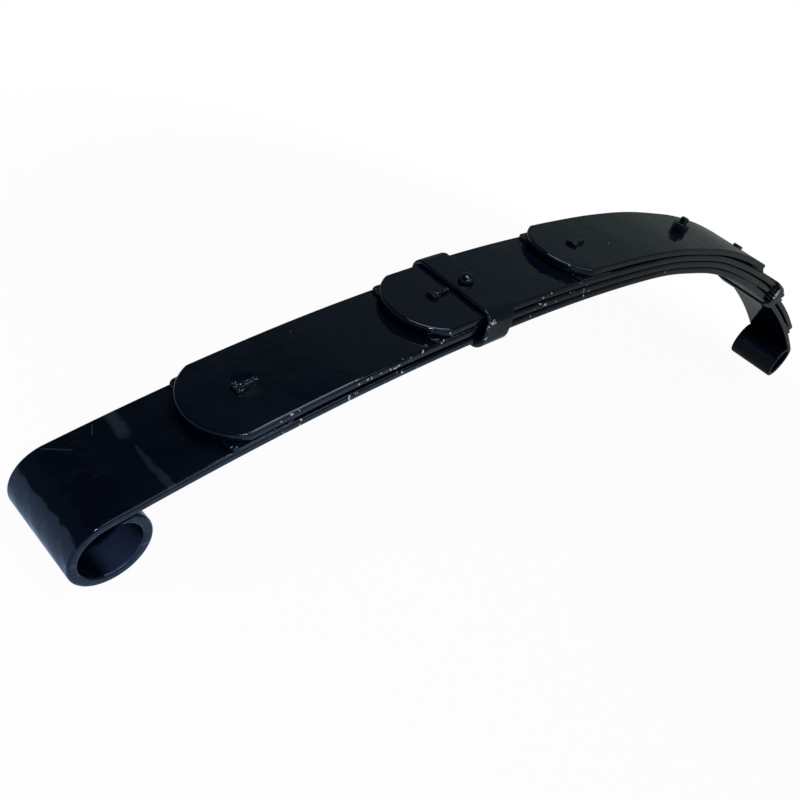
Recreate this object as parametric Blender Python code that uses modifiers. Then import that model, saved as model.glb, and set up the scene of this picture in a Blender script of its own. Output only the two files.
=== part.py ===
"""Semi-elliptic leaf spring: four leaves, tip pads, two rebound clips and a centre bolt.

It stands arch up on its two eyes. X runs along the spring, Y across it and Z up, and the
origin lies between the eyes on the surface that they stand on. Most pieces are drawn flat,
with X as the arc length from the centre bolt and Z as a height, and then bent to the camber.

A leaf that flexes is drawn in rigid lengths: the middle that the axle clamps, and an arm at
each end that turns on a line across the top of the pack where the clamped middle stops.
"""
import bisect
import math

import bmesh
import bpy
from mathutils import Matrix, Vector

# Leaves: every leaf is cut from the same bar
LEAF_WIDTH = 0.0635
LEAF_THICK = 0.0061
TIP_ROUND = 0.0218
SECOND_STEP = 0.0645
THIRD_STEP = 0.1495
FOURTH_STEP = 0.147

# Camber: a flat seat at the bolt and a tight arc, both clamped, then a wide arc to the eye
SEAT_HALF = 0.0155
INNER_ARC = 0.065
INNER_RADIUS = 0.508
OUTER_ARC = 0.488
OUTER_RADIUS = 1.620

# Eyes: the ends of the main leaf, rolled down and left open by a slit
EYE_BORE = 0.0363
ROLL_SLIT = 0.0007

# Tip pads: a plate under each leaf end, with a button up through the leaf
SECOND_PAD = 0.0024
THIRD_PAD = 0.0013
FOURTH_PAD = 0.0015
PAD_LENGTH = 0.044
PAD_SETBACK = 0.009
BUTTON_LENGTH = 0.017
BUTTON_WIDTH = 0.009
BUTTON_RISE = 0.002
BUTTON_SETBACK = 0.040

# Rebound clips: a closed strap round the three longest leaves, riveted to the third
CLIP_SETBACK = 0.0645
CLIP_WIDTH = 0.0254
STRAP_THICK = 0.003
STRAP_SIDE_GAP = 0.0024
STRAP_LOW_GAP = 0.0018
RIVET_SHANK = 0.006
RIVET_HEAD = 0.011
RIVET_RISE = 0.0052

# Centre bolt and nut
BOLT_SHANK = 0.0079
BOLT_HEAD = 0.0143
BOLT_HEAD_RISE = 0.0079
BOLT_CHAMFER = 0.001
BOLT_THREAD_RISE = 0.0055
NUT_FLATS = 0.0127
NUT_RISE = 0.0068

# Fit and fineness
GAP = 0.0003
STATIONS = 22
ARC_STEPS = 36
CORNER_STEPS = 4
TIP_STEPS = 16
ROUND_STEPS = 24

# Names of the leaves from the longest, and of the two ends
LEAVES = ("main", "second", "third", "fourth")
UPPER_LEAVES = LEAVES[1:]
PADS = {"second": SECOND_PAD, "third": THIRD_PAD, "fourth": FOURTH_PAD}
ENDS = {"hanger": -1, "shackle": 1}

HINGE_ARC = SEAT_HALF + INNER_ARC
EYE_ARC = HINGE_ARC + OUTER_ARC
SECOND_TIP = EYE_ARC - SECOND_STEP
THIRD_TIP = SECOND_TIP - THIRD_STEP
FOURTH_TIP = THIRD_TIP - FOURTH_STEP
TIPS = {"second": SECOND_TIP, "third": THIRD_TIP, "fourth": FOURTH_TIP}
CLIP_ARC = THIRD_TIP - CLIP_SETBACK
EYE_INNER = EYE_BORE / 2
EYE_OUTER = EYE_INNER + LEAF_THICK

# Arc lengths where the facets of the bent pieces meet
FACET = (EYE_ARC - SEAT_HALF) / STATIONS
STATION_ARCS = [SEAT_HALF + FACET * i for i in range(STATIONS + 1)]
STATION_ARCS = [-s for s in reversed(STATION_ARCS)] + [0.0] + STATION_ARCS


def camber(arc):
    """Point (x, z) and downward slope of the main leaf's middle line, from its crown."""
    left = abs(arc)
    x = z = slope = 0.0
    runs = (
        (SEAT_HALF, None),
        (INNER_ARC, INNER_RADIUS),
        (math.inf, OUTER_RADIUS),
    )
    for length, radius in runs:
        step = min(left, length)
        if radius is None:
            x += step
        else:
            turned = slope + step / radius
            x += radius * (math.sin(turned) - math.sin(slope))
            z += radius * (math.cos(turned) - math.cos(slope))
            slope = turned
        left -= step
    side = math.copysign(1, arc)
    return side * x, z, side * slope


def spread(leaf, arc):
    """Extra opening under a leaf: shut at the seat, as high as the tip pad at its tip."""
    full_at = TIPS[leaf] - PAD_SETBACK - PAD_LENGTH - FACET
    share = min(abs(arc) / full_at, 1)
    return (PADS[leaf] + GAP) * share**3 * (4 - 3 * share)


def underside(leaf, arc):
    """Height of a leaf's lower face above the main leaf's middle surface."""
    height = -LEAF_THICK / 2
    for name in LEAVES[1 : LEAVES.index(leaf) + 1]:
        height += LEAF_THICK + GAP + spread(name, arc)
    return height


def topside(leaf, arc):
    return underside(leaf, arc) + LEAF_THICK


def lower_topside(leaf, arc):
    """Height of the upper face that a leaf's pads lie on."""
    return topside(LEAVES[LEAVES.index(leaf) - 1], arc)


def off_crown(arc, height):
    """Point (x, z) at a height square to the main leaf, measured from the crown."""
    x, z, slope = camber(arc)
    return x + height * math.sin(slope), z + height * math.cos(slope)


def eye_arc_points(radius):
    """The roll of the shackle eye at one radius, from the leaf round to the slit."""
    x, z = off_crown(EYE_ARC, -LEAF_THICK / 2 - EYE_INNER)
    start = math.pi / 2 - camber(EYE_ARC)[2]
    turn = 2 * math.pi - math.acos((EYE_INNER - ROLL_SLIT) / EYE_OUTER)
    angles = [start - turn * i / ARC_STEPS for i in range(ARC_STEPS + 1)]
    return [(x + radius * math.cos(a), z + radius * math.sin(a)) for a in angles]


# Height of the crown's middle surface over the surface that the eyes stand on
CROWN = -min(z for x, z in eye_arc_points(EYE_OUTER))


def bent(arc, y, rise, floor):
    """World point of a flat point: rise is its height over floor, a height along the leaf."""
    i = bisect.bisect_right(STATION_ARCS, arc) - 1
    i = min(max(i, 0), len(STATION_ARCS) - 2)
    low, high = STATION_ARCS[i : i + 2]
    share = (arc - low) / (high - low)
    ax, az = off_crown(low, floor(low) + rise)
    bx, bz = off_crown(high, floor(high) + rise)
    return Vector((ax + (bx - ax) * share, y, CROWN + az + (bz - az) * share))


def main_surface(arc):
    return 0.0


def hinge_point(end):
    """Where an arm turns: on the shortest leaf's top, at the end of the clamped middle."""
    return bent(ENDS[end] * HINGE_ARC, 0, 0, lambda arc: topside("fourth", arc))


def new_collection(name):
    made = bpy.data.collections.new(name)
    bpy.context.scene.collection.children.link(made)
    return made


def new_material(name, colour, roughness, metallic):
    made = bpy.data.materials.new(name)
    made.use_nodes = True
    shader = made.node_tree.nodes["Principled BSDF"]
    shader.inputs["Base Color"].default_value = (*colour, 1)
    shader.inputs["Roughness"].default_value = roughness
    shader.inputs["Metallic"].default_value = metallic
    return made


def evaluated_mesh(obj):
    """The mesh of an object with its modifiers, or of a curve, welded; the object goes."""
    bpy.context.view_layer.update()
    mesh = bpy.data.meshes.new_from_object(obj.evaluated_get(bpy.context.evaluated_depsgraph_get()))
    bpy.data.objects.remove(obj)
    edit = bmesh.new()
    edit.from_mesh(mesh)
    bmesh.ops.remove_doubles(edit, verts=edit.verts, dist=1e-6)
    bmesh.ops.recalc_face_normals(edit, faces=edit.faces)
    edit.to_mesh(mesh)
    edit.free()
    return mesh


def scene_object(data):
    made = bpy.data.objects.new("draft", data)
    bpy.context.scene.collection.objects.link(made)
    return made


def plate(outlines, low, high):
    """A flat plate between two heights; an outline inside another is a hole."""
    curve = bpy.data.curves.new("plate", "CURVE")
    curve.dimensions = "2D"
    curve.fill_mode = "BOTH"
    curve.extrude = (high - low) / 2
    for points in outlines:
        spline = curve.splines.new("POLY")
        spline.points.add(len(points) - 1)
        for point, (x, y) in zip(spline.points, points):
            point.co = (x, y, 0, 1)
        spline.use_cyclic_u = True
    mesh = evaluated_mesh(scene_object(curve))
    mesh.transform(Matrix.Translation((0, 0, (low + high) / 2)))
    return mesh


def turned(profile):
    """A solid of revolution about Z; the profile (radius, height) runs from top to bottom."""
    mesh = bpy.data.meshes.new("profile")
    edges = [(i, i + 1) for i in range(len(profile) - 1)]
    mesh.from_pydata([(r, 0, z) for r, z in profile], edges, [])
    draft = scene_object(mesh)
    screw = draft.modifiers.new("turn", "SCREW")
    screw.steps = ROUND_STEPS
    screw.render_steps = ROUND_STEPS
    screw.use_merge_vertices = True
    screw.merge_threshold = 1e-6
    return evaluated_mesh(draft)


def combined(mesh, other, operation):
    """Two meshes joined or cut by an exact Boolean."""
    draft = scene_object(mesh)
    tool = scene_object(other)
    boolean = draft.modifiers.new("boolean", "BOOLEAN")
    boolean.operation = operation
    boolean.object = tool
    made = evaluated_mesh(draft)
    bpy.data.objects.remove(tool)
    return made


def bend(mesh, floor):
    """Cut a flat mesh into facets at the stations, then bend it to the camber."""
    edit = bmesh.new()
    edit.from_mesh(mesh)
    arcs = [vert.co.x for vert in edit.verts]
    for arc in STATION_ARCS:
        if min(arcs) < arc < max(arcs):
            everything = edit.verts[:] + edit.edges[:] + edit.faces[:]
            bmesh.ops.bisect_plane(edit, geom=everything, dist=1e-6, plane_co=(arc, 0, 0), plane_no=(1, 0, 0))
    for vert in edit.verts:
        vert.co = bent(*vert.co, floor)
    edit.to_mesh(mesh)
    edit.free()


def circle(radius, centre_x=0.0):
    turns = [2 * math.pi * i / ROUND_STEPS for i in range(ROUND_STEPS)]
    return [(centre_x + radius * math.cos(a), radius * math.sin(a)) for a in turns]


def oblong(centre_x, length, width):
    """Outline with half-round ends along X."""
    run = (length - width) / 2
    points = []
    for side in (1, -1):
        for i in range(CORNER_STEPS * 2 + 1):
            a = math.pi * (i / (CORNER_STEPS * 2) - 0.5)
            points.append((centre_x + side * (run + width / 2 * math.cos(a)), side * width / 2 * math.sin(a)))
    return points


def rounded_box(half_y, low, high, radius):
    """Cross-section outline (y, height) with round corners."""
    centres = ((1, high - radius, 0), (-1, high - radius, 1), (-1, low + radius, 2), (1, low + radius, 3))
    points = []
    for side, z, quarter in centres:
        for i in range(CORNER_STEPS + 1):
            a = math.pi / 2 * (quarter + i / CORNER_STEPS)
            points.append((side * (half_y - radius) + radius * math.cos(a), z + radius * math.sin(a)))
    return points


def bar_outline(start, end):
    """Plan of a straight length of bar."""
    half = LEAF_WIDTH / 2
    return [(start, -half), (end, -half), (end, half), (start, half)]


def tip_outline(start, tip):
    """Plan of a length of bar with a round nose: an arc across its width, TIP_ROUND deep."""
    half = LEAF_WIDTH / 2
    radius = (TIP_ROUND**2 + half**2) / (2 * TIP_ROUND)
    reach = math.atan2(half, radius - TIP_ROUND)
    points = [(start, half), (start, -half)]
    for i in range(TIP_STEPS + 1):
        a = reach * (2 * i / TIP_STEPS - 1)
        points.append((tip - radius + radius * math.cos(a), radius * math.sin(a)))
    return points


def add_part(name, mesh, look, half=None):
    """Link a finished piece, under its half's empty if it moves with one."""
    made = bpy.data.objects.new(name, mesh)
    mesh.name = name
    mesh.materials.clear()
    mesh.materials.append(new_material(name, *look))
    mesh.shade_smooth()
    mesh.set_sharp_from_angle(angle=math.radians(30))
    parts.objects.link(made)
    if half is not None:
        made.parent = half
        made.matrix_parent_inverse = Matrix.Translation(-half.location)
    return made


def build_seat(leaf):
    """The clamped middle of a leaf, with its bolt hole."""
    half_length = HINGE_ARC - GAP / 2
    mesh = plate([bar_outline(-half_length, half_length), circle(BOLT_SHANK / 2 + GAP)], 0, LEAF_THICK)
    bend(mesh, lambda arc: underside(leaf, arc))
    add_part(f"{leaf}_leaf_seat", mesh, PAINT)


def build_main_arm(end, half):
    """The main leaf from the clamped middle to the start of its eye."""
    outline = bar_outline(HINGE_ARC + GAP / 2, EYE_ARC - GAP)
    mesh = plate([[(ENDS[end] * x, y) for x, y in outline]], 0, LEAF_THICK)
    bend(mesh, lambda arc: underside("main", arc))
    add_part(f"main_leaf_{end}_arm", mesh, PAINT, half)


def build_eye(end, half):
    """The rolled end of the main leaf: a side outline, extruded across."""
    roll = eye_arc_points(EYE_OUTER) + eye_arc_points(EYE_INNER)[::-1]
    mesh = plate([[(ENDS[end] * x, z) for x, z in roll]], -LEAF_WIDTH / 2, LEAF_WIDTH / 2)
    mesh.transform(Matrix.Translation((0, 0, CROWN)) @ Matrix.Rotation(math.pi / 2, 4, "X"))
    add_part(f"{end}_eye", mesh, PAINT, half)


def build_upper_arm(leaf, end, half):
    """An upper leaf from the clamped middle to its tip, with the holes for what it carries."""
    outlines = [
        tip_outline(HINGE_ARC + GAP / 2, TIPS[leaf]),
        oblong(TIPS[leaf] - BUTTON_SETBACK, BUTTON_LENGTH + 2 * GAP, BUTTON_WIDTH + 2 * GAP),
    ]
    if leaf == "third":
        outlines.append(circle(RIVET_SHANK / 2 + GAP, CLIP_ARC))
    mesh = plate([[(ENDS[end] * x, y) for x, y in points] for points in outlines], 0, LEAF_THICK)
    bend(mesh, lambda arc: underside(leaf, arc))
    add_part(f"{leaf}_leaf_{end}_arm", mesh, PAINT, half)


def build_pad(leaf, end, half):
    """A tip pad with the button that holds it in the leaf above."""
    side = ENDS[end]
    outer = TIPS[leaf] - PAD_SETBACK
    inner = outer - PAD_LENGTH
    corners = [(inner, -1), (outer, -1), (outer, 1), (inner, 1)]
    base = plate([[(side * x, y * LEAF_WIDTH / 2) for x, y in corners]], GAP, GAP + PADS[leaf])
    button_top = PADS[leaf] + 2 * GAP + LEAF_THICK + BUTTON_RISE
    button_at = side * (TIPS[leaf] - BUTTON_SETBACK)
    button = plate([oblong(button_at, BUTTON_LENGTH, BUTTON_WIDTH)], GAP + PADS[leaf] / 2, button_top)
    mesh = combined(base, button, "UNION")
    bend(mesh, lambda arc: lower_topside(leaf, arc))
    add_part(f"{leaf}_leaf_{end}_end_pad", mesh, PAD_PLASTIC, half)


def build_clip(end, half):
    """A strap bent round the leaves: its top follows the third leaf and is riveted to it."""
    middle = ENDS[end] * CLIP_ARC
    low = -LEAF_THICK / 2 - STRAP_LOW_GAP
    high = topside("third", middle) + GAP
    inner_y = LEAF_WIDTH / 2 + STRAP_SIDE_GAP
    inner = rounded_box(inner_y, low, high, STRAP_SIDE_GAP)
    outer = rounded_box(
        inner_y + STRAP_THICK, low - STRAP_THICK, high + STRAP_THICK, STRAP_SIDE_GAP + STRAP_THICK
    )
    mesh = plate([outer, inner], -CLIP_WIDTH / 2, CLIP_WIDTH / 2)
    mesh.transform(Matrix(((0, 0, 1, middle), (1, 0, 0, 0), (0, 1, 0, 0), (0, 0, 0, 1))))
    hole = plate([circle(RIVET_SHANK / 2 + GAP, middle)], high - STRAP_THICK, high + 2 * STRAP_THICK)
    mesh = combined(mesh, hole, "DIFFERENCE")
    for vert in mesh.vertices:
        if vert.co.z > 0:
            vert.co.z += topside("third", vert.co.x) - topside("third", middle)
    bend(mesh, main_surface)
    add_part(f"{end}_end_clip", mesh, PAINT, half)


def build_rivet(end, half):
    """A dome-headed rivet, its tail flush in the third leaf."""
    seat = STRAP_THICK + 2 * GAP
    tail = GAP - LEAF_THICK
    dome = []
    for i in range(CORNER_STEPS * 2 + 1):
        a = math.pi / 2 * i / (CORNER_STEPS * 2)
        dome.append((RIVET_HEAD / 2 * math.sin(a), seat + RIVET_RISE * math.cos(a)))
    shank = RIVET_SHANK / 2
    mesh = turned(dome + [(shank, seat), (shank, tail), (0, tail)])
    arc = ENDS[end] * CLIP_ARC
    foot = bent(arc, 0, 0, lambda s: topside("third", s))
    mesh.transform(Matrix.Translation(foot) @ Matrix.Rotation(facet_slope(arc), 4, "Y"))
    add_part(f"{end}_end_clip_rivet", mesh, PAINT, half)


def facet_slope(arc):
    """Downward slope of the third leaf's top facet at an arc length."""
    step = FACET / 100
    run = bent(arc + step, 0, 0, lambda s: topside("third", s))
    run -= bent(arc - step, 0, 0, lambda s: topside("third", s))
    return math.atan2(-run.z, run.x)


def build_centre_bolt():
    """Round head below the main leaf, shank through the leaves and thread above the nut."""
    seat = topside("fourth", 0) + GAP
    head_top = -LEAF_THICK / 2 - GAP
    end = seat + NUT_RISE + BOLT_THREAD_RISE
    head_end = head_top - BOLT_HEAD_RISE
    shank = BOLT_SHANK / 2
    head = BOLT_HEAD / 2
    profile = [
        (0, end),
        (shank - BOLT_CHAMFER, end),
        (shank, end - BOLT_CHAMFER),
        (shank, head_top),
        (head, head_top),
        (head, head_end + BOLT_CHAMFER),
        (head - BOLT_CHAMFER, head_end),
        (0, head_end),
    ]
    mesh = turned(profile)
    mesh.transform(Matrix.Translation((0, 0, CROWN)))
    add_part("centre_bolt", mesh, BARE_STEEL)


def build_centre_nut():
    seat = topside("fourth", 0) + GAP
    corner = NUT_FLATS / math.sqrt(3)
    hexagon = [(corner * math.cos(math.pi / 3 * i), corner * math.sin(math.pi / 3 * i)) for i in range(6)]
    mesh = plate([hexagon, circle(BOLT_SHANK / 2 + GAP)], seat, seat + NUT_RISE)
    mesh.transform(Matrix.Translation((0, 0, CROWN)))
    add_part("centre_nut", mesh, BARE_STEEL)


# Looks: colour, roughness and metallic value
PAINT = ((0.012, 0.014, 0.019), 0.22, 0.0)
PAD_PLASTIC = ((0.010, 0.011, 0.014), 0.35, 0.0)
BARE_STEEL = ((0.014, 0.015, 0.018), 0.30, 0.0)

for old in list(bpy.data.objects):
    bpy.data.objects.remove(old)
parts = new_collection("leaf_spring")

for leaf_name in LEAVES:
    build_seat(leaf_name)
for end_name in ENDS:
    # Each half turns on its hinge line, so its pieces hang from an empty there
    half_empty = bpy.data.objects.new(f"{end_name}_half", None)
    half_empty.location = hinge_point(end_name)
    parts.objects.link(half_empty)
    build_main_arm(end_name, half_empty)
    build_eye(end_name, half_empty)
    for leaf_name in UPPER_LEAVES:
        build_upper_arm(leaf_name, end_name, half_empty)
        build_pad(leaf_name, end_name, half_empty)
    build_clip(end_name, half_empty)
    build_rivet(end_name, half_empty)
build_centre_bolt()
build_centre_nut()
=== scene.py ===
"""Looks of the leaf spring: four painted leaves, their tip pads, clips, rivets, centre bolt and nut."""
import math

import bmesh
import bpy
from mathutils import Matrix, Vector


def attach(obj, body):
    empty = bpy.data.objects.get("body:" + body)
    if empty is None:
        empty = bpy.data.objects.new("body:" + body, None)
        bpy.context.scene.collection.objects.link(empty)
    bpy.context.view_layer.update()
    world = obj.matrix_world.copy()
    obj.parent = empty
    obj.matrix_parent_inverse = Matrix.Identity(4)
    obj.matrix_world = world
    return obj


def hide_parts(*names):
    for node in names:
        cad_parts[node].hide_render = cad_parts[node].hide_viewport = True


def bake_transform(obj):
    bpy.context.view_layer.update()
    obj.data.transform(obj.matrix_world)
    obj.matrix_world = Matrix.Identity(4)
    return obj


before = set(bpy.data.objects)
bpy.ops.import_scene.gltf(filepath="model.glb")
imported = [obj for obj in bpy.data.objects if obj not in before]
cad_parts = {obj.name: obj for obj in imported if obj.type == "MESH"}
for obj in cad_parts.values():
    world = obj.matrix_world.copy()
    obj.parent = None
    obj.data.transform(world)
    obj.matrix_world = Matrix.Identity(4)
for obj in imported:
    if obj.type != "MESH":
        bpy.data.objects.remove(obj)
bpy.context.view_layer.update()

# Main leaf: one bar of spring steel with the round edges of rolled flat stock, bent hot to the arch.
# Each end is rolled down into an open eye, and the whole spring was dipped in glossy black paint.
LEAF_WIDTH = 0.0635
LEAF_THICK = 0.0061
BAR_EDGE = 0.0017
SEAT_HALF = 0.0155
INNER_ARC = 0.065
INNER_RADIUS = 0.508
OUTER_RADIUS = 1.620
CROWN = 0.18134
EYE_ARC = 0.5685
EYE_INNER = 0.01815
EYE_MIDDLE = EYE_INNER + LEAF_THICK / 2
ROLL_TURN = math.radians(338)
ROLL_CUTS = 76
ROLL_SEAM = 0.0003
SCARF_TURN = 1.0
BEND_CUT = 0.011
BENDS = [SEAT_HALF + BEND_CUT * i for i in range(51)]
SHARP_CORNER = math.radians(40)
ENDS = {"hanger": -1, "shackle": 1}
HAIR = 1e-6


def on_arch(arc, across, height):
    """Where a point of the straight bar comes to lie: arc along it, height over the main leaf's middle."""
    left = min(abs(arc), EYE_ARC)
    flat = min(left, SEAT_HALF)
    tight = min(left - flat, INNER_ARC) / INNER_RADIUS
    slope = tight + max(left - SEAT_HALF - INNER_ARC, 0) / OUTER_RADIUS
    x = flat + INNER_RADIUS * math.sin(tight) + OUTER_RADIUS * (math.sin(slope) - math.sin(tight))
    z = INNER_RADIUS * (math.cos(tight) - 1) + OUTER_RADIUS * (math.cos(slope) - math.cos(tight))
    turned = slope + max(abs(arc) - EYE_ARC, 0) / EYE_MIDDLE
    x += (EYE_MIDDLE + height) * math.sin(turned) - EYE_MIDDLE * math.sin(slope)
    z += (EYE_MIDDLE + height) * math.cos(turned) - EYE_MIDDLE * math.cos(slope)
    return Vector((math.copysign(x, arc), across, CROWN + z))


def round_bar_edges(bar):
    """Round the long edges of a straight bar and of its nose, but not its square cuts."""
    rims = [e for e in bar.edges if e.verts[0].co.z == e.verts[1].co.z]
    rims = [e for e in rims if e.verts[0].co.x != e.verts[1].co.x]
    bmesh.ops.bevel(
        bar, geom=rims, offset=BAR_EDGE, segments=4, profile=0.5, affect="EDGES", material=-1
    )


def cut_across(bar, arcs):
    """Cut a straight bar at these arcs, so that it can take the bend."""
    for arc in arcs:
        whole = bar.verts[:] + bar.edges[:] + bar.faces[:]
        bmesh.ops.bisect_plane(bar, geom=whole, dist=HAIR, plane_co=(arc, 0, 0), plane_no=(1, 0, 0))


def finished(bar, name, finish):
    """Make the object of a piece: normals outwards, smooth but for its sharp corners."""
    bmesh.ops.dissolve_degenerate(bar, dist=2 * HAIR, edges=bar.edges)
    bar.normal_update()
    bmesh.ops.recalc_face_normals(bar, faces=bar.faces)
    mesh = bpy.data.meshes.new(name)
    bar.to_mesh(mesh)
    bar.free()
    mesh.shade_smooth()
    mesh.set_sharp_from_angle(angle=SHARP_CORNER)
    mesh.materials.append(finish)
    piece = bpy.data.objects.new(name, mesh)
    bpy.context.scene.collection.objects.link(piece)
    piece.modifiers.new("flat faces stay flat", "WEIGHTED_NORMAL").keep_sharp = True
    return piece


def flex(piece):
    """Bake a piece's placement into its mesh."""
    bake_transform(piece)


class Coat:
    """A value in a finish's nodes; sums on it add Math nodes."""

    def __init__(self, tree, socket=None):
        self.tree = tree
        self.socket = socket

    def node(self, kind, settings, inputs, output=0):
        """Add a node: its settings first, then its inputs, and give the output that is asked for."""
        added = self.tree.nodes.new(kind)
        for name, value in settings.items():
            setattr(added, name, value)
        for key, value in inputs.items():
            if isinstance(value, Coat):
                self.tree.links.new(value.socket, added.inputs[key])
            else:
                added.inputs[key].default_value = value
        return Coat(self.tree, added.outputs[output])

    def output(self, name):
        return Coat(self.tree, self.socket.node.outputs[name])

    def feed(self, socket):
        self.tree.links.new(self.socket, socket)

    def maths(self, operation, *values):
        return self.node("ShaderNodeMath", {"operation": operation}, dict(enumerate(values)))

    def __add__(self, other):
        return self.maths("ADD", self, other)

    def __sub__(self, other):
        return self.maths("SUBTRACT", self, other)

    def __rsub__(self, other):
        return self.maths("SUBTRACT", other, self)

    def __mul__(self, other):
        return self.maths("MULTIPLY", self, other)

    __radd__ = __add__
    __rmul__ = __mul__

    def __abs__(self):
        return self.maths("ABSOLUTE", self)

    def rise(self, low, high):
        """A smooth step from 0 at low to 1 at high; high may be the lower one."""
        settings = {"interpolation_type": "SMOOTHSTEP"}
        return self.node("ShaderNodeMapRange", settings, {"Value": self, "From Min": low, "From Max": high})

    def mottle(self, fineness, detail=2.0):
        """Noise over this place."""
        inputs = {"Vector": self, "Scale": fineness, "Detail": detail}
        return self.node("ShaderNodeTexNoise", {}, inputs)

    def away_from(self, point):
        """How far this place is from a point."""
        return self.node("ShaderNodeVectorMath", {"operation": "DISTANCE"}, {0: self, 1: point}, "Value")

    def parts(self):
        """This place's X, Y and Z."""
        split = self.node("ShaderNodeSeparateXYZ", {}, {0: self})
        return split.output("X"), split.output("Y"), split.output("Z")

    def over(self, colour, other):
        """One colour where this mask is 0, the other where it is 1."""
        inputs = {0: self, 6: colour, 7: other}
        return self.node("ShaderNodeMix", {"data_type": "RGBA"}, inputs, 2)


PAINT_DEEP = (0.0012, 0.0026, 0.0072, 1)
PAINT_THIN = (0.0027, 0.0048, 0.0105, 1)
PAINT_GLOSS = (0.62, 0.80, 1.0, 1)
PAINT_DUST = (0.30, 0.31, 0.33, 1)
# Steel colour where the paint has come off at edges; it also paints the highlight on the shackle clip's
# flank.
PAINT_CHIP_AND_GLINT = (0.52, 0.55, 0.60, 1)
# Paler blue painted inside the bores, as light that reaches in.
BORE_PAINTED_LIGHT = (0.030, 0.050, 0.116, 1)
PAINT_SMEAR = (0.015, 0.021, 0.031, 1)
THIN_PLACES = (0.42, 0.72)
DUST_FINENESS = 62.0
DUST_GRAIN = (0.040, 0.02)
DUSTY_PLACES = (0.56, 0.66)
DUST_LIES = (0.6, 0.9)
WAVES = ((0.00075, 31, 2), (0.00014, 95, 2), (0.00001, 430, 1))
EDGE_WAVE = 0.00016
EDGE_WAVE_WIDTH = 0.003
LUMP_FINENESS = 520
CHIP_FINENESS = 270
CHIP_OUTSIDE = 0.0016
CHIP_INSIDE = 0.0004
CHIPS_ALONG_BARS = (0.67, 0.71)
HANDLED_STRETCHES = ((-0.228, 0.034, 0.020), (-0.372, 0.060, 0.030))
HANDLED_PLACES = (0.60, 0.70)
BORE_SKIN = (0.0012, 0.0002)
# Where the painted light in the bores lies: round a point low in the roll, towards each mouth.
BORE_LIGHT_TURN = math.radians(211)
BORE_LIGHT_REACH = (0.0185, 0.0065)
BORE_LIGHT_FROM_MIDDLE = (0.0095, 0.0140)
ROLL_WAVE = 0.0009
ROLL_WAVE_REACH = (0.014, 0.008)
SMEAR_AT = 0.5150
SMEAR_WANDER = 0.005
SMEAR_FRAY = 0.006
FAR_SMEAR_HALF = (0.0048, 0.0018)
FAR_SMEAR_START = (0.0085, 0.0150)
NEAR_SMEAR_HALF = (0.0018, 0.0002)
NEAR_SMEAR_START = (0.0042, 0.0012)
NEAR_SMEAR_FLARE = 0.0009
NEAR_SMEAR_FLARES = (0.006, -0.024)
SCRATCHES = (
    ((-0.5514, 0.0296), (-0.5393, 0.0186), 0.0006),
    ((-0.5245, 0.0290), (-0.5284, 0.0216), 0.0005),
)


def handled(place, along):
    """Chips, most of them in the two stretches of a bar that were handled most."""
    often = place.mottle(23).rise(*HANDLED_PLACES)
    for middle, outside, inside in HANDLED_STRETCHES:
        often = often + abs(along - middle).rise(outside, inside)
    return often * place.mottle(CHIP_FINENESS, 1).rise(*CHIPS_ALONG_BARS)


def scratch(along, across, start, stop, width):
    """A thin straight mark between two points of the upper face."""
    run = Vector(stop) - Vector(start)
    middle = (Vector(start) + Vector(stop)) / 2
    x = along - middle.x
    y = across - middle.y
    half = run.length / 2
    run.normalize()
    beside = abs(x * run.y - y * run.x).rise(width, width / 2)
    return beside * abs(x * run.x + y * run.y).rise(half, half * 0.8)


def rubbed(place, along, across):
    """Two dull smears across the leaf beside the hanger eye, and scratches over the eye's roll."""
    off = abs(along + SMEAR_AT + SMEAR_WANDER * (place.mottle(110) - 0.5))
    frayed = across + SMEAR_FRAY * (place.mottle(140) - 0.5)
    far = off.rise(*FAR_SMEAR_HALF) * frayed.rise(*FAR_SMEAR_START)
    flare = NEAR_SMEAR_FLARE * across.rise(*NEAR_SMEAR_FLARES)
    near = (off - flare).rise(*NEAR_SMEAR_HALF) * across.rise(*NEAR_SMEAR_START)
    marked = 0.85 * far + 0.6 * near
    for start, stop, width in SCRATCHES:
        marked = marked + scratch(along, across, start, stop, width)
    return marked


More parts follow.
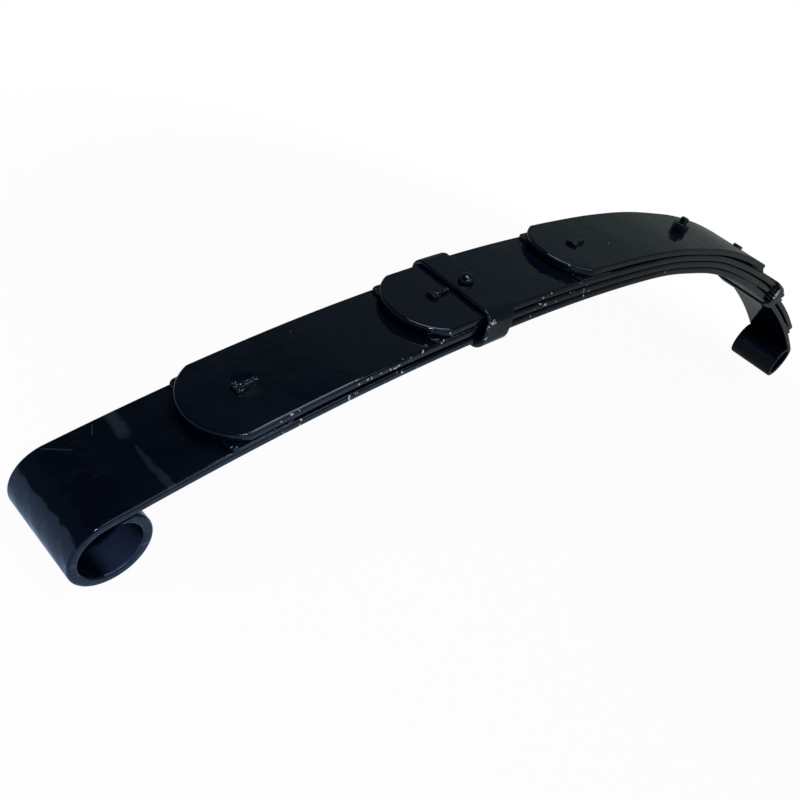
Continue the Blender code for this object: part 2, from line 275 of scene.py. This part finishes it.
def dipped_paint(name, half_width, wear_and_glint, lumps=0.0, has_eyes=False):
    """Black paint from a dip: wavy or lumpy, with thin places, dust, steel showing along the edges of a bar
    and any painted highlight that comes with it; with eyes, also painted light in the bores and smears
    beside the hanger eye.
    """
    material = bpy.data.materials.new(name)
    material.use_nodes = True
    shader = material.node_tree.nodes["Principled BSDF"]
    shader.inputs["Specular Tint"].default_value = PAINT_GLOSS
    place = Coat(material.node_tree).node("ShaderNodeTexCoord", {}, {}, "Object")
    along, across, up = place.parts()
    out = abs(across)
    thin = place.mottle(11, 4).rise(*THIN_PLACES)
    colour = thin.over(PAINT_DEEP, PAINT_THIN)
    rough = 0.07 + 0.09 * thin
    inputs = {"Vector": place, "Scale": DUST_FINENESS}
    grains = place.node("ShaderNodeTexVoronoi", {}, inputs, "Distance").rise(*DUST_GRAIN)
    upward = place.output("Normal").parts()[2].rise(*DUST_LIES)
    dust = grains * place.mottle(7).rise(*DUSTY_PLACES) * upward
    colour = dust.over(colour, PAINT_DUST)
    # Steel colour along the edges, and for the clips a painted highlight as well.
    edge_chips_and_glint = out.rise(half_width - CHIP_OUTSIDE, half_width - CHIP_INSIDE) * wear_and_glint(place, along)
    colour = edge_chips_and_glint.over(colour, PAINT_CHIP_AND_GLINT)
    rough = rough + 0.35 * edge_chips_and_glint + 0.4 * dust
    height = lumps * place.mottle(LUMP_FINENESS, 1)
    for tall, fineness, detail in WAVES:
        height = height + tall * place.mottle(fineness, detail)
    rim = out.rise(half_width - EDGE_WAVE_WIDTH, half_width)
    height = height + EDGE_WAVE * rim * place.mottle(150)
    if has_eyes:
        # Both bores are alike, so X counts from the bolt, and Y is left out
        level = place.node("ShaderNodeCombineXYZ", {}, {0: abs(along), 2: up})
        from_axis = level.away_from(on_arch(EYE_ARC, 0, -EYE_MIDDLE))
        bore = from_axis.rise(EYE_INNER + BORE_SKIN[0], EYE_INNER + BORE_SKIN[1])
        # Painted light in the bores: paler, bluer and rougher round one point low in the roll, and towards
        # each mouth.
        bore_light_spot = level.away_from(on_arch(EYE_ARC + BORE_LIGHT_TURN * EYE_MIDDLE, 0, -LEAF_THICK / 2))
        bore_lit = bore * bore_light_spot.rise(*BORE_LIGHT_REACH) * out.rise(*BORE_LIGHT_FROM_MIDDLE)
        bore_lit = bore_lit * (0.7 + 0.3 * place.mottle(40))
        roll = from_axis.rise(EYE_INNER + ROLL_WAVE_REACH[0], EYE_INNER + ROLL_WAVE_REACH[1])
        height = height + ROLL_WAVE * roll * place.mottle(75)
        marked = rubbed(place, along, across)
        colour = marked.over(bore_lit.over(colour, BORE_PAINTED_LIGHT), PAINT_SMEAR)
        rough = rough + 0.35 * bore_lit + 0.22 * marked
    colour.feed(shader.inputs["Base Color"])
    rough.feed(shader.inputs["Roughness"])
    bump = height.node("ShaderNodeBump", {}, {"Strength": 1.0, "Distance": 1.0, "Height": height}, "Normal")
    bump.feed(shader.inputs["Normal"])
    return material


main_paint = dipped_paint("main_leaf_paint", LEAF_WIDTH / 2, handled, has_eyes=True)
for end, side in ENDS.items():
    length = EYE_ARC + ROLL_TURN * EYE_MIDDLE
    bar = bmesh.new()
    bmesh.ops.create_cube(bar, size=1)
    bmesh.ops.scale(bar, vec=(length, LEAF_WIDTH, LEAF_THICK), verts=bar.verts)
    bmesh.ops.translate(bar, vec=(length / 2, 0, 0), verts=bar.verts)
    round_bar_edges(bar)
    cut_across(bar, BENDS)
    cut_across(bar, [EYE_ARC + ROLL_TURN * EYE_MIDDLE * i / ROLL_CUTS for i in range(ROLL_CUTS)])
    for vert in bar.verts:
        open_turn = 2 * math.pi - (vert.co.x - EYE_ARC) / EYE_MIDDLE
        if open_turn < SCARF_TURN:
            # The roll's end is scarfed, so that it lies flat under the leaf
            vert.co.z = min(vert.co.z, (EYE_INNER - ROLL_SEAM) / math.cos(open_turn) - EYE_MIDDLE)
        vert.co = on_arch(side * vert.co.x, vert.co.y, vert.co.z)
    half_leaf = finished(bar, f"main_leaf_{end}_half", main_paint)
    flex(half_leaf)
    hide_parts("main_leaf_seat", f"main_leaf_{end}_arm", f"{end}_eye")

# Upper leaves: three shorter bars of the same stock, stacked on the main leaf, their ends cut to a
# round nose. They bear on one another at the bolt and on their tip pads. Round the second leaf's lug
# the bar is dished, where its hole was punched.
TIP_ROUND = 0.0218
TIP_RADIUS = (TIP_ROUND**2 + (LEAF_WIDTH / 2) ** 2) / (2 * TIP_ROUND)
TIP_STEPS = 32
TIPS = {"second": 0.504, "third": 0.3545, "fourth": 0.2075}
PADS = {"second": 0.0024, "third": 0.0013, "fourth": 0.0015}
PAD_LENGTH = 0.044
PAD_SETBACK = 0.009
BUTTON_SETBACK = 0.040
LEVEL_BEFORE_PAD = 0.0251
GAP = 0.0003
DISH_REACH = 0.0105
DISH_DEPTH = 0.0010
DISH_CUT = 0.00105
DISH_CUTS = 10


def opening(leaf, arc):
    """Extra room under a leaf: none at the bolt, as much as its tip pad takes at the tip."""
    share = min(abs(arc) / (TIPS[leaf] - PAD_SETBACK - PAD_LENGTH - LEVEL_BEFORE_PAD), 1)
    return (PADS[leaf] + GAP) * share**3 * (4 - 3 * share)


def top_of(leaf, arc):
    """Height of a leaf's upper face over the main leaf's middle."""
    height = LEAF_THICK / 2
    for name in TIPS if leaf != "main" else ():
        height += LEAF_THICK + GAP + opening(name, arc)
        if name == leaf:
            break
    return height


def thickened(bar, plan, rise):
    """Raise a flat plan to a solid, and give the corners of its upper face."""
    raised = bmesh.ops.extrude_face_region(bar, geom=plan, use_keep_orig=True)["geom"]
    raised = [v for v in raised if isinstance(v, bmesh.types.BMVert)]
    bmesh.ops.translate(bar, vec=(0, 0, rise), verts=raised)
    return raised


def dish(bar, middle):
    """Press a shallow round hollow into the upper face of a straight bar."""
    reach = DISH_REACH + DISH_CUT
    steps = [DISH_CUT * i for i in range(-DISH_CUTS, DISH_CUTS + 1)]
    cuts = [((middle + step, 0, 0), (1, 0, 0)) for step in steps]
    cuts += [((0, step, 0), (0, 1, 0)) for step in steps]
    for through, square in cuts:
        upper = [f for f in bar.faces if min(v.co.z for v in f.verts) > LEAF_THICK - HAIR]
        near = [f for f in upper if abs(f.calc_center_median().x - middle) < reach]
        region = set(near)
        for face in near:
            region.update(face.edges)
            region.update(face.verts)
        bmesh.ops.bisect_plane(bar, geom=list(region), dist=HAIR, plane_co=through, plane_no=square)
    for vert in bar.verts:
        out = math.hypot(vert.co.x - middle, vert.co.y) / DISH_REACH
        if out < 1 and vert.co.z > LEAF_THICK - HAIR:
            vert.co.z -= DISH_DEPTH * (0.5 + 0.5 * math.cos(math.pi * out))


leaf_paint = dipped_paint("upper_leaf_paint", LEAF_WIDTH / 2, handled)
for leaf, tip in TIPS.items():
    for end, side in ENDS.items():
        bar = bmesh.new()
        corner = bar.verts.new((tip - TIP_ROUND, -LEAF_WIDTH / 2, 0))
        middle = (tip - TIP_RADIUS, 0, 0)
        turn = 2 * math.atan2(LEAF_WIDTH / 2, TIP_RADIUS - TIP_ROUND)
        bmesh.ops.spin(bar, geom=[corner], cent=middle, axis=(0, 0, 1), angle=turn, steps=TIP_STEPS)
        nose_ends = [v for v in bar.verts if len(v.link_edges) == 1]
        for vert in bmesh.ops.extrude_vert_indiv(bar, verts=nose_ends)["verts"]:
            vert.co.x = 0
        plan = bmesh.ops.contextual_create(bar, geom=bar.verts[:] + bar.edges[:])["faces"]
        thickened(bar, plan, LEAF_THICK)
        bmesh.ops.recalc_face_normals(bar, faces=bar.faces)
        round_bar_edges(bar)
        cut_across(bar, [arc for arc in BENDS if arc < tip])
        if leaf == "second":
            dish(bar, tip - BUTTON_SETBACK)
        for vert in bar.verts:
            height = top_of(leaf, vert.co.x) - LEAF_THICK + vert.co.z
            vert.co = on_arch(side * vert.co.x, vert.co.y, height)
        half_leaf = finished(bar, f"{leaf}_leaf_{end}_half", leaf_paint)
        flex(half_leaf)
        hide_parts(f"{leaf}_leaf_seat", f"{leaf}_leaf_{end}_arm")

# Tip pads: moulded plastic plates that keep the leaf ends off the leaf below, as wide as the bar.
# A lug comes up through a hole in the leaf and holds the pad, and the dip painted it all over.
PAD_CORNER = 0.0050
PAD_EDGE = 0.0004
PAD_BENDS = 5
PAD_LUMPS = 0.0011
LUG_LENGTH = 0.0165
LUG_WIDTH = 0.0085
LUG_HEAD = 0.0052
LUG_STEM = 0.0038
LUG_RISE = 0.0027
LUG_EDGE = 0.0011
LUG_FOOT = {"second": -0.0006, "third": 0.00005, "fourth": 0.00005}
BELOW = {"second": "main", "third": "second", "fourth": "third"}

pad_paint = dipped_paint("pad_paint", LEAF_WIDTH / 2, handled, lumps=PAD_LUMPS)
for leaf, tip in TIPS.items():
    for end, side in ENDS.items():
        pad = bmesh.new()
        outer = tip - PAD_SETBACK
        bmesh.ops.create_cube(pad, size=1)
        bmesh.ops.scale(pad, vec=(PAD_LENGTH, LEAF_WIDTH, PADS[leaf]), verts=pad.verts)
        bmesh.ops.translate(pad, vec=(outer - PAD_LENGTH / 2, 0, GAP + PADS[leaf] / 2), verts=pad.verts)
        uprights = [e for e in pad.edges if e.verts[0].co.z != e.verts[1].co.z]
        bmesh.ops.bevel(
            pad, geom=uprights, offset=PAD_CORNER, segments=6, profile=0.5, affect="EDGES", material=-1
        )
        rims = [e for e in pad.edges if e.verts[0].co.z == e.verts[1].co.z]
        bmesh.ops.bevel(
            pad, geom=rims, offset=PAD_EDGE, segments=2, profile=0.5, affect="EDGES", material=-1
        )
        cut_across(pad, [outer - PAD_LENGTH * i / PAD_BENDS for i in range(1, PAD_BENDS)])
        for vert in pad.verts:
            vert.co.z += top_of(BELOW[leaf], vert.co.x)
        # The lug is a T in plan: a grid of two by three that loses the two squares beside its stem
        lug = bmesh.ops.create_grid(pad, x_segments=2, y_segments=3, size=0.5)["verts"]
        stem_start = LUG_LENGTH / 2 - LUG_HEAD
        for vert in lug:
            if abs(vert.co.x) < 0.1:
                vert.co.x = stem_start
            else:
                vert.co.x *= LUG_LENGTH
            vert.co.y *= LUG_WIDTH if abs(vert.co.y) > 0.3 else LUG_STEM * 3
        squares = {f for v in lug for f in v.link_faces}
        squares = [f for f in squares if f.calc_center_median().x < stem_start]
        squares = [f for f in squares if abs(f.calc_center_median().y) > LUG_STEM / 2]
        bmesh.ops.delete(pad, geom=squares, context="FACES")
        lug = [v for v in lug if v.is_valid]
        edges = list({e for v in lug for e in v.link_edges})
        bmesh.ops.dissolve_limit(pad, angle_limit=0.01, verts=lug, edges=edges)
        lug = [v for v in lug if v.is_valid]
        raised = thickened(pad, list({f for v in lug for f in v.link_faces}), LUG_RISE)
        for vert in lug + raised:
            vert.co.x += tip - BUTTON_SETBACK
            vert.co.z += top_of(leaf, vert.co.x) + LUG_FOOT[leaf]
        bmesh.ops.recalc_face_normals(pad, faces=pad.faces)
        crown = list({e for v in raised for e in v.link_edges})
        bmesh.ops.bevel(
            pad, geom=crown, offset=LUG_EDGE, segments=4, profile=0.5, affect="EDGES", material=-1
        )
        for vert in pad.verts:
            vert.co = on_arch(side * vert.co.x, vert.co.y, vert.co.z)
        tip_pad = finished(pad, f"{leaf}_leaf_{end}_tip_pad", pad_paint)
        flex(tip_pad)
        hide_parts(f"{leaf}_leaf_{end}_end_pad")

# Rebound clips: straps of flat steel closed round the three longest leaves, with round corners and
# a little room at the sides. They stop the leaves from parting when the spring rebounds.
CLIP_ARC = 0.290
CLIP_WIDTH = 0.0254
STRAP_THICK = 0.003
STRAP_ROOM = 0.0024
STRAP_DROP = 0.0018
STRAP_EDGE = 0.0013
TOP_CORNER = 0.0052
LOW_CORNER = 0.0068
STRAP_MIDDLE_X = 0.2852
STRAP_EDGE_X = 0.0122
CHIPPED_EDGE = (0.0040, 0.0022)
CHIPS_ALONG_STRAPS = (0.64, 0.69)
KNOCK_BELOW_TOP = 0.002

strap_half = LEAF_WIDTH / 2 + STRAP_ROOM + STRAP_THICK
strap_top = top_of("third", CLIP_ARC)
KNOCKED_CORNER = on_arch(-CLIP_ARC - CLIP_WIDTH / 2, -strap_half, strap_top - KNOCK_BELOW_TOP)
# A painted highlight: an almost solid pale patch on the hanger-side edge of the shackle clip's near wall.
PAINTED_GLINT_FLANK = on_arch(CLIP_ARC - CLIP_WIDTH / 2, -strap_half, strap_top / 2)
KNOCKS_AND_GLINT = (
    (KNOCKED_CORNER, (0.0075, 0.0035), (0.47, 0.55)),
    (PAINTED_GLINT_FLANK, (0.0062, 0.0045), (0.30, 0.38)),
)


def knocks_and_glint(place, along):
    """Chips on a strap's edges, most of them at a corner of the hanger's clip, and a painted highlight on a
    side of the other.
    """
    edge = abs(abs(abs(along) - STRAP_MIDDLE_X) - STRAP_EDGE_X).rise(*CHIPPED_EDGE)
    strap_chips_and_glint = edge * place.mottle(CHIP_FINENESS, 1).rise(*CHIPS_ALONG_STRAPS)
    for middle, reach, ragged in KNOCKS_AND_GLINT:
        strap_chips_and_glint = strap_chips_and_glint + place.away_from(middle).rise(*reach) * place.mottle(LUMP_FINENESS, 1).rise(*ragged)
    return strap_chips_and_glint


clip_paint = dipped_paint("clip_paint", strap_half, knocks_and_glint)
for end, side in ENDS.items():
    clip = bmesh.new()
    low = -LEAF_THICK / 2 - STRAP_DROP
    high = strap_top + GAP
    bmesh.ops.create_grid(clip, x_segments=1, y_segments=1, size=0.5)
    bmesh.ops.scale(clip, vec=(high - low, LEAF_WIDTH + 2 * STRAP_ROOM, 1), verts=clip.verts)
    bmesh.ops.translate(clip, vec=((high + low) / 2, 0, 0), verts=clip.verts)
    for radius, corners in (
        (TOP_CORNER, [v for v in clip.verts if v.co.x > LEAF_THICK]),
        (LOW_CORNER, [v for v in clip.verts if v.co.x < 0]),
    ):
        bmesh.ops.bevel(
            clip, geom=corners, offset=radius, segments=8, profile=0.5, affect="VERTICES", material=-1
        )
    bmesh.ops.delete(clip, geom=clip.faces[:], context="FACES_ONLY")
    wall = bmesh.ops.extrude_edge_only(clip, edges=clip.edges[:])["geom"]
    wall = [v for v in wall if isinstance(v, bmesh.types.BMVert)]
    bmesh.ops.translate(clip, vec=(0, 0, CLIP_WIDTH), verts=wall)
    bmesh.ops.recalc_face_normals(clip, faces=clip.faces)
    bmesh.ops.solidify(clip, geom=clip.faces[:], thickness=-STRAP_THICK)
    bmesh.ops.recalc_face_normals(clip, faces=clip.faces)
    upright = Matrix(((0, 0, 1, CLIP_ARC - CLIP_WIDTH / 2), (0, 1, 0, 0), (1, 0, 0, 0), (0, 0, 0, 1)))
    bmesh.ops.transform(clip, matrix=upright, verts=clip.verts)
    rims = [e for e in clip.edges if e.verts[0].co.x == e.verts[1].co.x and e.calc_face_angle(0) > 1]
    bmesh.ops.bevel(
        clip, geom=rims, offset=STRAP_EDGE, segments=3, profile=0.5, affect="EDGES", material=-1
    )
    cut_across(clip, [CLIP_ARC - CLIP_WIDTH / 4, CLIP_ARC, CLIP_ARC + CLIP_WIDTH / 4])
    for vert in clip.verts:
        if vert.co.z > LEAF_THICK:
            vert.co.z += top_of("third", vert.co.x) - strap_top
        vert.co = on_arch(side * vert.co.x, vert.co.y, vert.co.z)
    strap = finished(clip, f"{end}_rebound_clip", clip_paint)
    flex(strap)
    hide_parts(f"{end}_end_clip")

# Clip rivets: dome-headed steel rivets, set hot through the strap into the third leaf, one to a clip.
# They keep the clip from sliding along the spring, and the dip painted them with the rest.
RIVET_HEAD = 0.0110
RIVET_RISE = 0.0048
RIVET_LIP = 0.0004
RIVET_SHANK = 0.00924
RIVET_SUNK = 0.001
RIVET_STEPS = 12


def lathed(outline):
    """A round upright solid, from radii and heights that start and end on its axis."""
    solid = bmesh.new()
    points = [solid.verts.new((radius, 0, height)) for radius, height in outline]
    for i in range(1, len(points)):
        solid.edges.new((points[i - 1], points[i]))
    profile = solid.verts[:] + solid.edges[:]
    bmesh.ops.spin(
        solid, geom=profile, cent=(0, 0, 0), axis=(0, 0, 1), angle=2 * math.pi, steps=40, use_merge=True
    )
    bmesh.ops.remove_doubles(solid, verts=solid.verts, dist=HAIR)
    return solid


for end, side in ENDS.items():
    outline = [(0, -RIVET_SUNK), (RIVET_SHANK / 2, -RIVET_SUNK)]
    for i in range(RIVET_STEPS + 1):
        turn = math.pi / 2 * i / RIVET_STEPS
        outline += [(RIVET_HEAD / 2 * math.cos(turn), RIVET_LIP + RIVET_RISE * math.sin(turn))]
    rivet = lathed(outline)
    seat = strap_top + STRAP_THICK + 2 * GAP
    for vert in rivet.verts:
        vert.co = on_arch(side * (CLIP_ARC + vert.co.x), vert.co.y, seat + vert.co.z)
    head = finished(rivet, f"{end}_clip_rivet", clip_paint)
    flex(head)
    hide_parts(f"{end}_end_clip_rivet")

# Centre bolt: a steel bolt through all four leaves that keeps them in line. Its round head is under
# the main leaf, where it drops into the axle's spring seat, and its thread stands out of the nut.
BOLT_SHANK = 0.0079
BOLT_HEAD = 0.0143
BOLT_HEAD_RISE = 0.0079
BOLT_HEAD_ROUND = 0.001
BOLT_HEAD_BREAK = 0.0004
NUT_RISE = 0.0068
THREAD_RISE = 0.0055
THREAD_PITCH = 0.00141
THREAD_DEPTH = 0.0005
THREAD_TURNS = 7
THREAD_CREST = 0.12
THREAD_ROOT = (0.50, 0.62)
BOLT_POINT_RISE = 0.0012
BOLT_POINT_IN = 0.001

bolt_paint = dipped_paint("bolt_paint", 1.0, handled)
stack_top = CROWN + top_of("fourth", 0)
bolt_end = stack_top + GAP + NUT_RISE + THREAD_RISE
head_top = CROWN - LEAF_THICK / 2 - GAP
head_low = head_top - BOLT_HEAD_RISE
outline = [(0, head_low), (BOLT_HEAD / 2 - BOLT_HEAD_ROUND, head_low)]
outline += [(BOLT_HEAD / 2 - 0.3 * BOLT_HEAD_ROUND, head_low + 0.3 * BOLT_HEAD_ROUND)]
outline += [(BOLT_HEAD / 2, head_low + BOLT_HEAD_ROUND)]
outline += [(BOLT_HEAD / 2, head_top - BOLT_HEAD_BREAK), (BOLT_HEAD / 2 - BOLT_HEAD_BREAK, head_top)]
outline += [(BOLT_SHANK / 2, head_top), (BOLT_SHANK / 2, stack_top)]
for i in range(THREAD_TURNS):
    start = bolt_end - BOLT_POINT_RISE - THREAD_PITCH * (THREAD_TURNS - i)
    outline += [(BOLT_SHANK / 2, start), (BOLT_SHANK / 2, start + THREAD_PITCH * THREAD_CREST)]
    outline += [(BOLT_SHANK / 2 - THREAD_DEPTH, start + THREAD_PITCH * share) for share in THREAD_ROOT]
outline += [(BOLT_SHANK / 2, bolt_end - BOLT_POINT_RISE)]
outline += [(BOLT_SHANK / 2 - BOLT_POINT_IN, bolt_end), (0, bolt_end)]
centre_bolt = finished(lathed(outline), "centre_bolt_turned", bolt_paint)
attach(centre_bolt, "centre")
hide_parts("centre_bolt")

# Centre nut: a plain hexagon nut of mild steel, chamfered at its corners, on the centre bolt's thread.
# It is pulled down on the shortest leaf, clamps the pack together and was painted in place.
NUT_FLATS = 0.0127
NUT_EDGE = 0.0007
NUT_TURN = Matrix.Rotation(math.radians(12), 3, "Z")

nut = bmesh.new()
bmesh.ops.create_circle(nut, cap_ends=True, segments=6, radius=NUT_FLATS / math.sqrt(3))
thickened(nut, nut.faces[:], NUT_RISE)
bmesh.ops.recalc_face_normals(nut, faces=nut.faces)
bmesh.ops.bevel(
    nut, geom=nut.edges[:], offset=NUT_EDGE, segments=3, profile=0.5, affect="EDGES", material=-1
)
bmesh.ops.rotate(nut, cent=(0, 0, 0), matrix=NUT_TURN, verts=nut.verts)
bmesh.ops.translate(nut, vec=(0, 0, stack_top + GAP), verts=nut.verts)
centre_nut = finished(nut, "centre_nut_hexagon", bolt_paint)
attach(centre_nut, "centre")
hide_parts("centre_nut")

# Studio: a plain white floor that runs out to a white horizon, under a broad soft lamp, a small one
# on the near side and one over the hanger half. The gloss sees the floor near the hanger eye, and a
# dim room beyond it.
FLOOR_RADIUS = 40
FLOOR_MATT = (0.9, 0.9, 0.9, 1)
WHITE = (1, 1, 1, 1)
SHADOW_KEPT = 0.05
SHADOW_REACH = (0.45, 0.75)
SHEEN_AT = (-0.65, 0.05, 0)
SHEEN_REACH = (1.0, 0.05)
SHEEN_FAR = (0.92, 1, 0.98, 1)
SHEEN_NEAR = (0.50, 0.68, 1, 1)
WALL_NEAR = (0.050, 0.074, 0.120, 1)
WALL_FAR = (0.108, 0.127, 0.118, 1)
WALL_TURN = (-0.5, 0.2)
CEILING = (0.012, 0.015, 0.020, 1)
CEILING_RISE = (0.64, 0.85)
CEILING_TILT = 0.35
LAMPS = (
    ("broad lamp", (-0.3, -2.2, 2.4), (0, 0, 0.1), (2.6, 2.6), 26),
    ("small lamp", (-1.25, -1.0, 1.05), (0, 0, 0.1), (0.16, 0.16), 6),
    ("overhead lamp", (-0.37, 0.02, 0.70), (-0.37, 0.02, 0), (0.26, 0.34), 1.6),
)

floor_mesh = bmesh.new()
bmesh.ops.create_circle(floor_mesh, cap_ends=True, segments=64, radius=FLOOR_RADIUS)
ground = bpy.data.meshes.new("floor")
floor_mesh.to_mesh(ground)
floor_mesh.free()
floor = bpy.data.objects.new("floor", ground)
bpy.context.scene.collection.objects.link(floor)
white = bpy.data.materials.new("floor_white")
white.use_nodes = True
ground.materials.append(white)
floor_at = Coat(white.node_tree).node("ShaderNodeTexCoord", {}, {}, "Object")
floor_rays = floor_at.node("ShaderNodeLightPath", {}, {}, "Is Camera Ray")
matt = floor_at.node("ShaderNodeBsdfDiffuse", {}, {"Color": FLOOR_MATT})
plain = floor_at.node("ShaderNodeEmission", {}, {"Color": WHITE, "Strength": 1.0})
beyond = floor_at.away_from((0, 0, 0)).rise(*SHADOW_REACH)
share = floor_rays * (1 - SHADOW_KEPT + SHADOW_KEPT * beyond)
seen = floor_at.node("ShaderNodeMixShader", {}, {0: share, 1: matt, 2: plain})
# Glossy rays see the floor glow, brighter and bluer near the hanger eye: painted light for the paint to
# mirror.
close = floor_at.away_from(SHEEN_AT).rise(*SHEEN_REACH)
tint = close.over(SHEEN_FAR, SHEEN_NEAR)
sheen = floor_at.node("ShaderNodeEmission", {}, {"Color": tint, "Strength": 0.15 + 0.59 * close})
glossy = floor_rays.output("Is Glossy Ray")
both = floor_at.node("ShaderNodeMixShader", {}, {0: glossy, 1: seen, 2: sheen})
both.feed(white.node_tree.nodes["Material Output"].inputs["Surface"])

world = bpy.data.worlds.new("studio")
bpy.context.scene.world = world
world.use_nodes = True
sky = Coat(world.node_tree).node("ShaderNodeTexCoord", {}, {}, "Generated")
sky_x, _, sky_z = sky.parts()
walls = sky_x.rise(*WALL_TURN).over(WALL_NEAR, WALL_FAR)
room = (sky_z - CEILING_TILT * sky_x).rise(*CEILING_RISE).over(walls, CEILING)
sky_rays = sky.node("ShaderNodeLightPath", {}, {}, "Is Camera Ray")
sky_rays.over(room, WHITE).feed(world.node_tree.nodes["Background"].inputs["Color"])

for name, hung_at, aimed_at, sides, power in LAMPS:
    lamp = bpy.data.lights.new(name, "AREA")
    lamp.shape = "RECTANGLE"
    lamp.size, lamp.size_y = sides
    lamp.energy = power
    hung = bpy.data.objects.new(name, lamp)
    hung.location = hung_at
    hung.rotation_euler = (Vector(aimed_at) - Vector(hung_at)).to_track_quat("-Z", "Y").to_euler()
    hung.visible_camera = False
    bpy.context.scene.collection.objects.link(hung)

bpy.context.scene.view_settings.view_transform = "Standard"

# Camera: close to the hanger eye and a little above it, looking along the spring to the far eye, as
# the photograph was taken. Its three directions are the picture's right, its top and its back.
CAMERA_AT = (-0.79375, -0.29203, 0.35594)
CAMERA_RIGHT = (0.63048, -0.66328, 0.40318)
CAMERA_TOP = (0.12097, 0.59705, 0.79303)
CAMERA_BACK = (-0.76672, -0.45121, 0.45666)
FOCAL_LENGTH = 41.311
SENSOR_WIDTH = 36

lens = bpy.data.cameras.new("camera")
lens.lens = FOCAL_LENGTH
lens.sensor_width = SENSOR_WIDTH
camera = bpy.data.objects.new("camera", lens)
facing = Matrix((CAMERA_RIGHT, CAMERA_TOP, CAMERA_BACK)).transposed().to_4x4()
camera.matrix_world = Matrix.Translation(CAMERA_AT) @ facing
bpy.context.scene.collection.objects.link(camera)
bpy.context.scene.camera = camera
